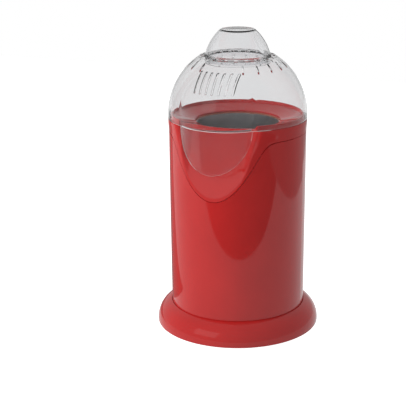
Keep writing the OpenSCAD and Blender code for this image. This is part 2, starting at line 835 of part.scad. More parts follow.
module heater_wires() color("#e6e1d2") {
    // switch to thermostat
    wire([polar(49.7, switch_a, switch_z + 7), polar(52, 64, 56), polar(66.5, 70, 61),
          polar(66.5, 72, 168), polar(65, 86.4, 175)], wire_r);
    // thermostat to fuse
    wire([polar(65, 93.6, 177), polar(66, 92, 188), polar(64, 75, 189), polar(55, 61, 184),
          polar(fuse_r, 60, 170.2)], wire_r);
    // fuse to heater
    wire([polar(fuse_r, 60, 140.7), polar(55, 62, 120), polar(58, 88, 104), polar(56, 90, high_wire_z),
          polar(47.3, 90, high_wire_z)], wire_r);
    // heater to terminal block
    wire([polar(47.3, 0, high_wire_z), polar(56, 0, high_wire_z), polar(66, 10, 92), polar(66, 18, 78),
          polar(66, 37, 60), polar(66, 37, 38), polar(57, 37.5, 30), polar(53, 42, 22), [25, 42, 14],
          [25, 44.5, block_wire_z], [25, 50, block_wire_z]], wire_r);
}

base_ring();
base_plate();
rubber_feet();
base_screws();
housing();
chute_collar();
clear_cover();
measuring_cup();
popping_chamber();
chamber_gasket();
chamber_screws();
heater_can();
can_screws();
mica_boards();
heating_coil();
thermostat();
thermal_fuse();
fan_duct();
duct_screws();
motor_bracket();
bracket_screws();
motor_case();
motor_magnets();
motor_end_cap();
motor_screws();
motor_shaft();
fan_impeller();
fan_clip();
rectifier_board();
diodes();
noise_capacitor();
terminal_block();
terminal_screws();
switch_body();
switch_rocker();
switch_terminals();
cord_gland();
gland_nut();
mains_wires();
motor_wires();
heater_wires();
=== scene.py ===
"""Looks of the hot-air popcorn maker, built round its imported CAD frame.

Lengths in the shape code are millimetres, and mesh_from() turns them into metres. Lengths in
the studio code are metres. Angles round the body start at the chute (-Y) and grow towards +X.
"""
import json
import math

import bmesh
import bpy
import numpy as np
from mathutils import Matrix, Vector


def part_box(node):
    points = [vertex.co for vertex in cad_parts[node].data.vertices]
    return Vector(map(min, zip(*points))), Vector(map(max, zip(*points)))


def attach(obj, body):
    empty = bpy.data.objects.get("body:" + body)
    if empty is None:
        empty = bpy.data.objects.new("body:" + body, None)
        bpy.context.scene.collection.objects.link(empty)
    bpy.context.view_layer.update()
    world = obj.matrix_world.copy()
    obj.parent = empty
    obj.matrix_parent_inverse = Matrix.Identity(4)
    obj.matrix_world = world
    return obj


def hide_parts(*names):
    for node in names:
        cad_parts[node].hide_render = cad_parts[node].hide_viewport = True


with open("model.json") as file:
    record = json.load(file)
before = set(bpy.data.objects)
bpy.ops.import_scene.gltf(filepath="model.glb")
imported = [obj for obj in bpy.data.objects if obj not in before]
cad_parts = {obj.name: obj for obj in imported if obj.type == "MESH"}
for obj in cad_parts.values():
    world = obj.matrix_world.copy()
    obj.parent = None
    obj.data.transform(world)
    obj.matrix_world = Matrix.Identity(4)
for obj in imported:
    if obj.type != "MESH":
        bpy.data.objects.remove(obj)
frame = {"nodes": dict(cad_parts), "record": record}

MM = 0.001
nodes = frame["nodes"]
scene = bpy.context.scene
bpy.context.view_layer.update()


def low_high(node):
    """Lowest and highest corner of a CAD node, in millimetres."""
    low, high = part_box(node)
    return np.array(low) / MM, np.array(high) / MM


# ---- Sizes, from the frame ----------------------------------------------------

collar_low, collar_high = low_high("chute_collar")
housing_low, housing_high = low_high("housing")
base_low, base_high = low_high("base_ring")
cover_low, cover_high = low_high("clear_cover")
cup_low, cup_high = low_high("measuring_cup")

GAP = 0.3                              # clearance between parts that lift off
SHARP_ANGLE = 40                       # in degrees: steeper edges are shaded sharp

# round body
RIM_R = collar_high[0]
BAND_Z = housing_high[2]               # foot of the collar's top band
RIM_Z = BAND_Z + 13.7                  # face that the cover rests on
HOUSING_TOP_R = RIM_R - 0.6
HOUSING_LOW_R = RIM_R - 1.4
HOUSING_FOOT_Z = housing_low[2]
BASE_R = base_high[0]
BASE_FOOT_Z = base_low[2]

# chute collar
INNER_RING_Z = collar_high[2]
INNER_RING_R = RIM_R - 3.5             # ring that stands inside the cover's foot
INNER_RING_WALL = 2.0
MOUTH_R = 46.5                         # mouth of the popping chamber
DECK_Z = 231.5                         # underside of the funnel-shaped floor
DECK_WALL = 2.0
FUNNEL_RISE = 4.5
FUNNEL_RUN = 24.0
SEAM_DROP = 1.2                        # how far the seam runs below the scoop's edge
CHUTE_LOW_Z = collar_low[2] + SEAM_DROP
CHUTE_SLOPE = 3.1                      # height of the scoop for each millimetre of its depth
BELL_EASE = 9.0
SLEEVE_Z = 210.0                       # top of the sleeve that reaches into the housing
SLEEVE_R = 73.0
BORE_R = 71.0                          # inside of the collar below the floor

# clear cover
COVER_Z = RIM_Z + GAP
SEAT_Z = 303.0                         # face that the cup rests on
NECK_R = 35.2
NECK_FOOT_Z = 295.0
CLEAR_WALL = 2.0
DOME_Z = 239.0                         # centre of the dome
HOOD_R = 54.5
HOOD_Y = 27.5                          # how far the hood's axis is in front of the body's
HOOD_Z = 247.0                         # centre of the ball that closes the hood's upright wall
FLAP_HALF_W = 40.5
FLAP_LOW_Z = cover_low[2]
FLAP_INSET = 0.8                       # how far the flap's face is behind the hood's

# measuring cup
CUP_TOP_Z = cup_high[2]
CUP_FOOT_Z = cup_low[2]


# ---- Mesh helpers -------------------------------------------------------------

def smooth_shading(data, sharp=SHARP_ANGLE):
    """Smooth shading that stops at edges sharper than that angle, in degrees."""
    data.shade_smooth()
    data.set_sharp_from_angle(angle=math.radians(sharp))


def mesh_from(name, points, faces, sharp=SHARP_ANGLE):
    """An object from points in millimetres, with double points merged."""
    data = bpy.data.meshes.new(name)
    data.from_pydata([tuple(point) for point in np.asarray(points) * MM], [], faces)
    merge_distance = 0.00001
    edit = bmesh.new()
    edit.from_mesh(data)
    bmesh.ops.remove_doubles(edit, verts=edit.verts, dist=merge_distance)
    bmesh.ops.dissolve_degenerate(edit, edges=edit.edges, dist=merge_distance)
    bmesh.ops.recalc_face_normals(edit, faces=edit.faces)
    edit.to_mesh(data)
    edit.free()
    smooth_shading(data, sharp)
    obj = bpy.data.objects.new(name, data)
    scene.collection.objects.link(obj)
    return obj


def grid_faces(columns, rows):
    """Quads of a grid that closes round its columns and round its rows."""
    faces = []
    for column in range(columns):
        following = (column + 1) % columns
        for row in range(rows):
            above = (row + 1) % rows
            faces.append((column * rows + row, following * rows + row,
                          following * rows + above, column * rows + above))
    return faces


def curve_between(start, corner, end, fractions):
    """Points of the curve that leaves start towards the corner and arrives at end."""
    return [(1 - s) ** 2 * start + 2 * s * (1 - s) * corner + s * s * end for s in fractions]


def round_off(corners, radii, steps=4):
    """A closed outline with its corners rounded, always with the same number of points."""
    corners = np.asarray(corners, float)
    count = len(corners)
    outline = []
    for i in range(count):
        here = corners[i]
        ends = []
        for other in (corners[i - 1], corners[(i + 1) % count]):
            way = other - here
            length = np.linalg.norm(way)
            reach = min(radii[i], 0.48 * length)
            ends.append(here + way * (reach / length if length > 1e-9 else 0))
        outline += curve_between(ends[0], here, ends[1], np.linspace(0, 1, steps))
    return np.array(outline)


def loft(name, angles, sections):
    """Closed (radius, height) sections, one for each angle round the Z axis."""
    points = [(radius * math.sin(angle), -radius * math.cos(angle), height)
              for angle, section in zip(angles, sections) for radius, height in section]
    return mesh_from(name, points, grid_faces(len(angles), len(sections[0])))


def lathe(name, corners, radii, segments):
    """A closed (radius, height) outline with rounded corners, turned round the Z axis."""
    outline = round_off(corners, radii, 3)
    turns = np.linspace(0, 2 * math.pi, segments, endpoint=False)
    return loft(name, turns, [outline] * segments)


def join(name, objects):
    """One object from several, each of them a closed solid of its own."""
    edit = bmesh.new()
    for obj in objects:
        part = obj.data.copy()
        part.transform(obj.matrix_world)
        edit.from_mesh(part)
        bpy.data.meshes.remove(part)
        bpy.data.objects.remove(obj)
    data = bpy.data.meshes.new(name)
    edit.to_mesh(data)
    edit.free()
    joined = bpy.data.objects.new(name, data)
    scene.collection.objects.link(joined)
    return joined


def subtract(obj, cutter):
    """Cuts one mesh out of another and keeps the result as the object's own mesh."""
    change = obj.modifiers.new("cut", "BOOLEAN")
    change.operation = "DIFFERENCE"
    change.solver = "EXACT"
    change.object = cutter
    evaluated = obj.evaluated_get(bpy.context.evaluated_depsgraph_get())
    result = bpy.data.meshes.new_from_object(evaluated)
    obj.modifiers.clear()
    obj.data = result
    bpy.data.objects.remove(cutter)
    merge_distance = 0.000002
    edit = bmesh.new()
    edit.from_mesh(result)
    bmesh.ops.remove_doubles(edit, verts=edit.verts, dist=merge_distance)
    bmesh.ops.dissolve_degenerate(edit, edges=edit.edges, dist=merge_distance)
    edit.to_mesh(result)
    edit.free()
    smooth_shading(result)
    return obj


def stadium(name, length, width, height):
    """An upright slot shape with round ends, along X, standing on z = 0."""
    half = length / 2 - width / 2
    end_steps = 6
    outline = []
    for side in (1, -1):
        for k in range(end_steps + 1):
            angle = math.radians(-90 + 180 * k / end_steps) + (0 if side > 0 else math.pi)
            outline.append((side * half + width / 2 * math.cos(angle), width / 2 * math.sin(angle)))
    n = len(outline)
    points = [(x, y, z) for z in (0, height) for x, y in outline]
    faces = [tuple(range(n))[::-1], tuple(range(n, 2 * n))]
    faces += [(i, (i + 1) % n, n + (i + 1) % n, n + i) for i in range(n)]
    return mesh_from(name, points, faces)


def put(obj, place, turn):
    """Turns an object about Z, in degrees, and then moves it to a place in millimetres."""
    turned = Matrix.Rotation(math.radians(turn), 4, "Z")
    obj.data.transform(Matrix.Translation(Vector(place) * MM) @ turned)
    return obj


def smooth_step(x):
    """0 below 0 and 1 above 1, with a smooth rise between."""
    x = np.clip(x, 0, 1)
    return x * x * (3 - 2 * x)


def smooth_min(a, b, ease):
    """The smaller of two lengths, eased over a stretch where they are nearly the same."""
    overlap = np.maximum(ease - np.abs(a - b), 0) / ease
    return np.minimum(a, b) - overlap * overlap * ease / 4


def signed(angle):
    """The same angle, between minus and plus half a turn."""
    return (angle + math.pi) % (2 * math.pi) - math.pi


def spaced(stretches):
    """Angles mirrored about the chute, from (end, step) stretches in degrees that start at 0."""
    side, start = [], 0.0
    for end, step in stretches:
        count = max(1, round((end - start) / step))
        side += list(np.linspace(start, end, count, endpoint=False))
        start = end
    side = np.array(side)
    return np.radians(np.concatenate([side, [180.0], 360 - side[:0:-1]]))


# ---- Materials ----------------------------------------------------------------

class Look:
    """One procedural material: a Principled shader fed by textures in the object's own space."""

    def __init__(self, name, **sockets):
        self.mat = bpy.data.materials.new(name)
        self.mat.use_nodes = True
        self.tree = self.mat.node_tree
        self.shader = self.tree.nodes["Principled BSDF"]
        for socket, value in sockets.items():
            self.shader.inputs[socket.replace("_", " ")].default_value = value
        self.place = self.node("ShaderNodeTexCoord").outputs["Object"]
        self.normal = None

    def node(self, kind, **settings):
        made = self.tree.nodes.new(kind)
        for key, value in settings.items():
            setattr(made, key, value)
        return made

    def link(self, source, target):
        self.tree.links.new(source, target)

    def noise(self, size, detail=3.0, stretch=(1, 1, 1), warp=0.0):
        """A noise whose blobs are about this size, in millimetres."""
        mapping = self.node("ShaderNodeMapping")
        mapping.inputs["Scale"].default_value = stretch
        self.link(self.place, mapping.inputs["Vector"])
        made = self.node("ShaderNodeTexNoise")
        made.inputs["Scale"].default_value = 1 / (size * MM)
        made.inputs["Detail"].default_value = detail
        made.inputs["Distortion"].default_value = warp
        self.link(mapping.outputs["Vector"], made.inputs["Vector"])
        return made.outputs["Fac"]

    def cells(self, size):
        """Distance to the middle of cells of about this size, in millimetres."""
        made = self.node("ShaderNodeTexVoronoi", feature="F1")
        made.inputs["Scale"].default_value = 1 / (size * MM)
        self.link(self.place, made.inputs["Vector"])
        return made.outputs["Distance"]

    def waves(self, size, direction, warp):
        """Warped bands of about this width, in millimetres."""
        made = self.node("ShaderNodeTexWave", bands_direction=direction)
        made.inputs["Scale"].default_value = 0.5 / (size * MM)
        made.inputs["Distortion"].default_value = warp
        self.link(self.place, made.inputs["Vector"])
        return made.outputs["Fac"]

    def colour_stops(self, source, stops):
        """Colour that follows the source through (position, colour) stops."""
        made = self.node("ShaderNodeValToRGB")
        band = made.color_ramp
        while len(band.elements) < len(stops):
            band.elements.new(0.5)
        for element, (position, colour) in zip(band.elements, stops):
            element.position = position
            element.color = (*colour, 1)
        self.link(source, made.inputs["Fac"])
        self.link(made.outputs["Color"], self.shader.inputs["Base Color"])

    def colour(self, source, low, high, start=0.3, end=0.7):
        """Colour that drifts from low to high as the source does."""
        self.colour_stops(source, [(start, low), (end, high)])

    def rough(self, source, low, high):
        """Roughness that drifts from low to high as the source does."""
        spread = self.node("ShaderNodeMapRange")
        spread.inputs["From Min"].default_value = 0.3
        spread.inputs["From Max"].default_value = 0.7
        spread.inputs["To Min"].default_value = low
        spread.inputs["To Max"].default_value = high
        self.link(source, spread.inputs["Value"])
        self.link(spread.outputs["Result"], self.shader.inputs["Roughness"])

    def bump(self, source, height, strength=1.0):
        """Relief of this height, in millimetres, added to any relief already there."""
        made = self.node("ShaderNodeBump")
        made.inputs["Strength"].default_value = strength
        made.inputs["Distance"].default_value = height * MM
        self.link(source, made.inputs["Height"])
        if self.normal is not None:
            self.link(self.normal, made.inputs["Normal"])
        self.normal = made.outputs["Normal"]
        self.link(self.normal, self.shader.inputs["Normal"])


def red_plastic():
    look = Look("red_plastic", IOR=1.5)
    look.colour(look.noise(45, 4), (0.415, 0.0095, 0.009), (0.455, 0.012, 0.011))
    look.rough(look.noise(9, 6, warp=0.6), 0.035, 0.08)
    look.bump(look.noise(14, 2), 0.012)
    look.bump(look.noise(0.9, 2), 0.0012)
    return look.mat


def clear_plastic():
    """Polished clear moulding. Lamps shine through it, as they do through a thin clear wall."""
    look = Look("clear_plastic", IOR=1.34, Transmission_Weight=1.0, Specular_IOR_Level=0.3)
    look.colour(look.noise(30, 2), (0.925, 0.927, 0.935), (0.945, 0.947, 0.952))
    look.rough(look.noise(6, 5, warp=0.5), 0.005, 0.03)
    look.bump(look.noise(16, 2), 0.012)
    clear = look.node("ShaderNodeBsdfTransparent")
    clear.inputs["Color"].default_value = (0.94, 0.94, 0.945, 1)
    choice = look.node("ShaderNodeMixShader")
    look.link(look.node("ShaderNodeLightPath").outputs["Is Shadow Ray"], choice.inputs["Fac"])
    look.link(look.shader.outputs["BSDF"], choice.inputs[1])
    look.link(clear.outputs["BSDF"], choice.inputs[2])
    look.link(choice.outputs["Shader"], look.tree.nodes["Material Output"].inputs["Surface"])
    return look.mat


def painted_edge_highlight():
    """Painted highlight on the rim of a clear moulding: a whiter, less clear plastic stands in for the
    light that gathers there and makes the edge look white.
    """
    look = Look("painted_edge_highlight", IOR=1.38, Transmission_Weight=0.1)
    look.colour(look.noise(5, 4), (0.86, 0.86, 0.87), (0.95, 0.95, 0.955))
    look.rough(look.noise(1.5, 4), 0.25, 0.4)
    look.bump(look.noise(0.6, 3), 0.003)
    return look.mat


def spark_plastic(name, low, high, grain=0.5):
    """Plastic with a fine spark-eroded texture. Grain is the size of its pits, in millimetres."""
    look = Look(name, IOR=1.48)
    look.colour(look.noise(12, 4), low, high)
    look.rough(look.noise(5, 5), 0.42, 0.6)
    look.bump(look.cells(grain), 0.02, 0.6)
    look.bump(look.noise(8, 2), 0.01)
    return look.mat


def satin_plastic(name, low, high):
    look = Look(name, IOR=1.5)
    look.colour(look.noise(10, 4), low, high)
    look.rough(look.noise(4, 5, warp=0.5), 0.18, 0.3)
    look.bump(look.noise(1.2, 3), 0.002)
    return look.mat


def rubber(name, low, high):
    look = Look(name, IOR=1.45)
    look.colour(look.noise(4, 6), low, high)
    look.rough(look.noise(3, 5), 0.7, 0.9)
    look.bump(look.noise(0.35, 4), 0.02)
    return look.mat


def drawn_metal(name, low, high, rough):
    """Metal with faint lines along Z, as drawing leaves them."""
    look = Look(name, Metallic=1.0)
    look.colour(look.noise(15, 5), low, high)
    look.rough(look.noise(3, 5), *rough)
    look.bump(look.noise(0.35, 3, stretch=(1, 1, 0.03)), 0.0015)
    look.bump(look.noise(12, 2), 0.006)
    return look.mat


def mica():
    """Pressed mica sheet: flakes from dark to pale amber."""
    look = Look("mica", IOR=1.58, Sheen_Weight=0.1)
    flakes = look.noise(2.2, 8, warp=1.5)
    look.colour_stops(flakes, [(0.3, (0.36, 0.28, 0.17)), (0.5, (0.55, 0.46, 0.31)),
                               (0.7, (0.7, 0.63, 0.47))])
    look.rough(look.noise(1.5, 6), 0.3, 0.55)
    look.bump(look.noise(1.1, 6, warp=1.0), 0.02)
    return look.mat


def oxidised_wire():
    """Resistance wire, dark where it has run hot and brown in places."""
    look = Look("heater_wire", Metallic=0.9)
    look.colour_stops(look.noise(3.5, 6), [(0.35, (0.10, 0.085, 0.08)), (0.55, (0.24, 0.21, 0.2)),
                                           (0.72, (0.33, 0.24, 0.17))])
    look.rough(look.noise(1.2, 5), 0.4, 0.65)
    look.bump(look.noise(0.25, 4), 0.01)
    return look.mat


def circuit_board():
    """Solder mask with the copper tracks standing through it."""
    look = Look("circuit_board", IOR=1.5)
    tracks = look.waves(1.6, "X", 2.5)
    look.colour(tracks, (0.018, 0.10, 0.045), (0.035, 0.17, 0.075), 0.42, 0.5)
    look.rough(look.noise(2, 4), 0.25, 0.4)
    look.bump(tracks, 0.03)
    return look.mat


def braided_sleeve():
    look = Look("wire_sleeve", IOR=1.5, Sheen_Weight=0.2)
    look.colour(look.cells(0.45), (0.5, 0.47, 0.39), (0.78, 0.75, 0.67), 0.1, 0.6)
    look.rough(look.noise(1, 4), 0.6, 0.8)
    look.bump(look.cells(0.45), 0.08)
    return look.mat


def wire_skin(name, low, high):
    look = Look(name, IOR=1.48)
    look.colour(look.noise(5, 4), low, high)
    look.rough(look.noise(2, 4), 0.35, 0.5)
    look.bump(look.noise(0.8, 3), 0.006)
    return look.mat


# by the record's material slots
materials = {
    "red_plastic": red_plastic(),
    "clear_plastic": clear_plastic(),
    "black_plastic": spark_plastic("black_plastic", (0.016, 0.016, 0.018), (0.03, 0.03, 0.032)),
    "black_gloss": satin_plastic("black_gloss", (0.012, 0.012, 0.014), (0.022, 0.022, 0.024)),
    "cream_plastic": spark_plastic("cream_plastic", (0.66, 0.63, 0.55), (0.76, 0.74, 0.67), 0.8),
    "foot_rubber": rubber("foot_rubber", (0.018, 0.018, 0.019), (0.04, 0.04, 0.041)),
    "silicone": rubber("silicone", (0.28, 0.075, 0.045), (0.38, 0.115, 0.075)),
    "aluminium": drawn_metal("aluminium", (0.76, 0.77, 0.78), (0.84, 0.85, 0.86), (0.3, 0.4)),
    "steel": drawn_metal("steel", (0.5, 0.5, 0.49), (0.66, 0.66, 0.64), (0.25, 0.45)),
    "brass": drawn_metal("brass", (0.6, 0.42, 0.16), (0.78, 0.58, 0.26), (0.2, 0.35)),
    "magnet": spark_plastic("magnet", (0.03, 0.03, 0.033), (0.065, 0.065, 0.07), 0.3),
    "mica": mica(),
    "heater_wire": oxidised_wire(),
    "circuit_board": circuit_board(),
    "capacitor_epoxy": satin_plastic("capacitor_epoxy", (0.4, 0.14, 0.03), (0.52, 0.2, 0.05)),
    "wire_sleeve": braided_sleeve(),
    "wire_brown": wire_skin("wire_brown", (0.10, 0.035, 0.016), (0.15, 0.055, 0.026)),
    "wire_red": wire_skin("wire_red", (0.36, 0.02, 0.018), (0.46, 0.03, 0.026)),
}


# ---- CAD nodes that keep their shape --------------------------------------------

# Width of the small round along the sharp edges of a node's finished look, in millimetres.
EASED_EDGES = {
    "housing": 0.25, "switch_body": 0.5, "switch_rocker": 0.6, "cord_gland": 0.5,
    "base_plate": 0.4, "rubber_feet": 0.8, "base_screws": 0.3, "fan_duct": 0.4,
    "popping_chamber": 0.2, "terminal_block": 0.3, "motor_end_cap": 0.3,
}
ROUND_WIRES = ("mains_wires", "motor_wires", "heater_wires")


def dress_cad_nodes():
    """Gives every CAD node the material of its own slot."""
    for part in frame["record"]["subparts"]:
        obj = nodes[part["node"]]
        obj.data.materials.clear()
        obj.data.materials.append(materials[part["material_slot"]])


def ease_edges(obj, width):
    bevel = obj.modifiers.new("eased_edges", "BEVEL")
    bevel.width = width * MM
    bevel.segments = 2
    bevel.limit_method = "ANGLE"
    bevel.angle_limit = math.radians(35)


def smooth_wires(obj):
    """Rounds off the eight-sided wires."""
    smoothing = obj.modifiers.new("round_wires", "SUBSURF")
    smoothing.levels = 1
    smoothing.render_levels = 1
    obj.data.shade_smooth()


dress_cad_nodes()
for name, width in EASED_EDGES.items():
    ease_edges(nodes[name], width)
for name in ROUND_WIRES:
    smooth_wires(nodes[name])


def piece(obj, body, slot, replaced):
    """Gives a finished mesh its material and its body, and hides the CAD node that it stands for."""
    obj.data.materials.clear()
    obj.data.materials.append(materials[slot])
    for polygon in obj.data.polygons:
        polygon.material_index = 0
    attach(obj, body)
    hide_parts(replaced)
    return obj


# ---- Chute collar -------------------------------------------------------------

def outer_r(z):
    """Radius of the round body: the housing's draft, and the band that stands a little proud."""
    share = (HOUSING_TOP_R - HOUSING_LOW_R) * (z - HOUSING_FOOT_Z) / (BAND_Z - HOUSING_FOOT_Z)
    band_ease = 12
    return HOUSING_LOW_R + share + (RIM_R - HOUSING_TOP_R) * smooth_step((z - BAND_Z) / band_ease)


def scoop_depth(x, z):
    """How far in front of the axis the chute's floor lies. Its sides sweep up to the band."""
    floor = HOUSING_TOP_R - (z - CHUTE_LOW_Z) / CHUTE_SLOPE
    dish = x * x / 900 * 0.6
    sweep_r, sweep_x, steepest = 22.0, 28.0, 16.0
    run = np.clip(np.abs(x) - sweep_x, 0, None)
    curved = sweep_r - np.sqrt(sweep_r ** 2 - np.minimum(run, steepest) ** 2)
    slope = steepest / math.sqrt(sweep_r ** 2 - steepest ** 2)
    return floor + dish + curved + np.clip(run - steepest, 0, None) * slope


def skin_r(angle, z):
    """Radius of the collar's outer face: the round body with the scoop taken out of it."""
    angle, z = np.broadcast_arrays(np.asarray(angle, float), np.asarray(z, float))
    round_r = outer_r(z)
    # the scoop's edge is crisp low down and soft near the band
    ease = 1.2 + 9 * smooth_step((z - 205) / 26)
    low, high = np.zeros(z.shape), round_r.copy()
    halvings = 34
    for _ in range(halvings):
        trial = (low + high) / 2
        x, ahead = trial * np.sin(angle), trial * np.cos(angle)
        limit = smooth_min(np.sqrt(np.maximum(round_r ** 2 - x * x, 0)), scoop_depth(x, z), ease)
        inside = (ahead < limit) | (np.cos(angle) < 0.2)
        low, high = np.where(inside, trial, low), np.where(inside, high, trial)
    return (low + high) / 2


def seam_z(angle):
    """Height of the seam between collar and housing: a bell that runs out under the band."""
    if math.cos(angle) < 0.3:
        return BAND_Z
    x = HOUSING_TOP_R * math.sin(angle)
    depth = HOUSING_TOP_R - math.sqrt(HOUSING_TOP_R ** 2 - x * x)
    edge = CHUTE_LOW_Z + CHUTE_SLOPE * depth - SEAM_DROP
    bell = edge - BELL_EASE * math.log1p(math.exp((edge - BAND_Z) / BELL_EASE))
    return min(bell, BAND_Z)


def funnel_z(radius):
    """Height of the dished floor that leads popped corn to the chute."""
    return DECK_Z + DECK_WALL + (radius - MOUTH_R) * FUNNEL_RISE / FUNNEL_RUN


def collar_top(skin):
    """Five points at the collar's top: the cover's seat and the ring inside it, or the open lip
    where the floor meets the scoop, or the change from one to the other."""
    ring_share = float(smooth_step((skin(RIM_Z) - 69.5) / 3.2))
    lip_z = RIM_Z
    for _ in range(6):
        lip_z = funnel_z(skin(lip_z))
    lip_r = skin(lip_z)
    below, behind = 1.3, 1.6
    lip = curve_between(np.array([skin(lip_z - below), lip_z - below]), np.array([lip_r, lip_z]),
                        np.array([lip_r - behind, funnel_z(lip_r - behind)]), (0, 0.25, 0.5, 0.75, 1))
    ring_back = INNER_RING_R - INNER_RING_WALL
    ring = [(skin(RIM_Z), RIM_Z), (INNER_RING_R, RIM_Z), (INNER_RING_R, INNER_RING_Z),
            (ring_back, INNER_RING_Z), (ring_back, funnel_z(ring_back))]
    return [(1 - ring_share) * a + ring_share * np.array(b) for a, b in zip(lip, ring)]


def collar_section(angle):
    """Outline of the collar at one angle: skin, top, floor, bore and sleeve."""
    angle = signed(angle)
    foot = seam_z(angle)
    foot_r = outer_r(foot)

    def skin(z):
        return float(skin_r(angle, z))

    def bore(z):
        return min(BORE_R, skin(z) - 2.4)

    top = collar_top(skin)
    rows, foot_round, top_round = 44, 0.35, 0.6
    height = top[0][1] - top_round - foot - foot_round
    heights = foot + foot_round + height * np.linspace(0, 1, rows) ** 0.9
    outside = np.stack([skin_r(np.full(rows, angle), heights), heights], 1)
    sleeve_z = min(SLEEVE_Z, foot)
    sleeve_r = min(SLEEVE_R, foot_r - 2.0)
    inside = [(bore(z), z) for z in np.linspace(DECK_Z - 0.2, sleeve_z, 14)]
    floor = [(MOUTH_R, funnel_z(MOUTH_R)), (MOUTH_R, DECK_Z), (bore(DECK_Z) - 1.0, DECK_Z)]
    rounded = round_off([outside[-1], *top, *floor, inside[0]],
                        [0, 0.5, 0.4, 0.7, 0.7, 0.4, 1.2, 0.4, 0.4, 0], 3)
    foot_edge = [(foot_r - foot_round, foot)]
    sleeve = [(sleeve_r, sleeve_z), (sleeve_r, foot)]
    return np.concatenate([foot_edge, outside[:-1], rounded, inside[1:], sleeve])


def chute_collar():
    angles = spaced([(30, 1.2), (50, 0.35), (66, 0.8), (180, 2.4)])
    return loft("upper_moulding", angles, [collar_section(angle) for angle in angles])


piece(chute_collar(), "base", "red_plastic", "chute_collar")


# ---- Base ring ----------------------------------------------------------------

def base_ring():
    """A round-shouldered shell with a lip round the housing and a clamping ledge inside."""
    shoulder_r, centre_z, wall = 24.0, 3.5, 2.4
    centre_r = BASE_R - shoulder_r
    inner_r = shoulder_r - wall
    lip_r = HOUSING_LOW_R + GAP
    start = math.asin((BASE_FOOT_Z - centre_z) / shoulder_r)
    stop = math.acos((lip_r + 0.5 - centre_r) / shoulder_r)
    outer = [(centre_r + shoulder_r * math.cos(tilt), centre_z + shoulder_r * math.sin(tilt))
             for tilt in np.linspace(start, stop, 40)]
    inner = [(centre_r + inner_r * math.cos(tilt), centre_z - wall + inner_r * math.sin(tilt))
             for tilt in np.linspace(stop - 0.12, 0.32, 20)]
    lip = [(lip_r, outer[-1][1] - 0.1), (lip_r, inner[0][1] - 0.3)]
    foot = [(BASE_R - wall - 0.3, BASE_FOOT_Z)]
    radii = [0.7] + [0.3] * 38 + [0.7, 0.5, 0.4] + [0.3] * 20 + [0.5]
    shell = lathe("ring_shell", outer + lip + inner + foot, radii, 200)

    ledge_in, ledge_out = HOUSING_LOW_R - 5, BASE_R - wall - 0.8
    ledge_low, ledge_high = 7.8, 9.8
    ledge = lathe("ring_ledge", [(ledge_in, ledge_low), (ledge_out, ledge_low),
                                 (ledge_out, ledge_high), (ledge_in, ledge_high)], [0.3] * 4, 120)
    joined = join("base_shell", [shell, ledge])
    smooth_shading(joined.data)
    return joined


piece(base_ring(), "base", "red_plastic", "base_ring")


# ---- Clear cover --------------------------------------------------------------

def upright_r(angle, radius):
    """Distance from the body's axis to a round wall about the hood's axis."""
    across = HOOD_Y * math.sin(angle)
    return HOOD_Y * math.cos(angle) + math.sqrt(max(radius ** 2 - across ** 2, 0))


def cover_surface(angle, tilt, inset):
    """Point (radius, height) of the dome and hood together, seen from the dome's centre."""
    dome = RIM_R - inset
    way_r, way_z = math.cos(tilt), math.sin(tilt)
    if math.cos(angle) < 0.1:
        return dome * way_r, DOME_Z + dome * way_z
    ball = HOOD_R - inset
    hood = upright_r(angle, ball) / max(way_r, 1e-6)
    if DOME_Z + hood * way_z > HOOD_Z:
        rise = HOOD_Z - DOME_Z
        along = way_r * HOOD_Y * math.cos(angle) + way_z * rise
        hood = along + math.sqrt(max(along * along - (HOOD_Y ** 2 + rise ** 2 - ball ** 2), 0))
    crease_ease = 0.5 if inset == 0 else 1.6
    reach = -float(smooth_min(np.array(-dome), np.array(-hood), crease_ease))
    return reach * way_r, DOME_Z + reach * way_z


def flap_section(angle, foot_in, foot_out):
    """Rim, front and rear of the hanging flap. Where there is none they lie on the cover's foot."""
    rim_steps, rows = 9, 13
    face_r = upright_r(angle, HOOD_R - FLAP_INSET) if abs(angle) < math.radians(60) else 0
    across = face_r * math.sin(angle)
    if face_r <= 0 or abs(across) >= FLAP_HALF_W:
        rim = [(foot_in + (foot_out - foot_in) * k, COVER_Z) for k in np.linspace(0.2, 0.8, rim_steps)]
        return rim, [(foot_out - 0.2, COVER_Z)] * rows, [(foot_in + 0.2, COVER_Z)] * rows
    drop = (COVER_Z - FLAP_LOW_Z) * math.sqrt(1 - (across / FLAP_HALF_W) ** 2)
    edge = COVER_Z - drop
    heel = min(1.0, drop / 2)
    half_wall = CLEAR_WALL / 2
    rim = [(face_r - half_wall - half_wall * math.cos(turn), edge + heel * (1 - math.sin(turn)))
           for turn in np.linspace(0, math.pi, rim_steps)]
    heights = edge + heel + (drop - heel) * np.linspace(0, 1, rows + 1)[1:]
    front = [(face_r, z) for z in heights]
    rear = [(face_r - CLEAR_WALL, z) for z in heights[::-1]]
    return rim, front, rear


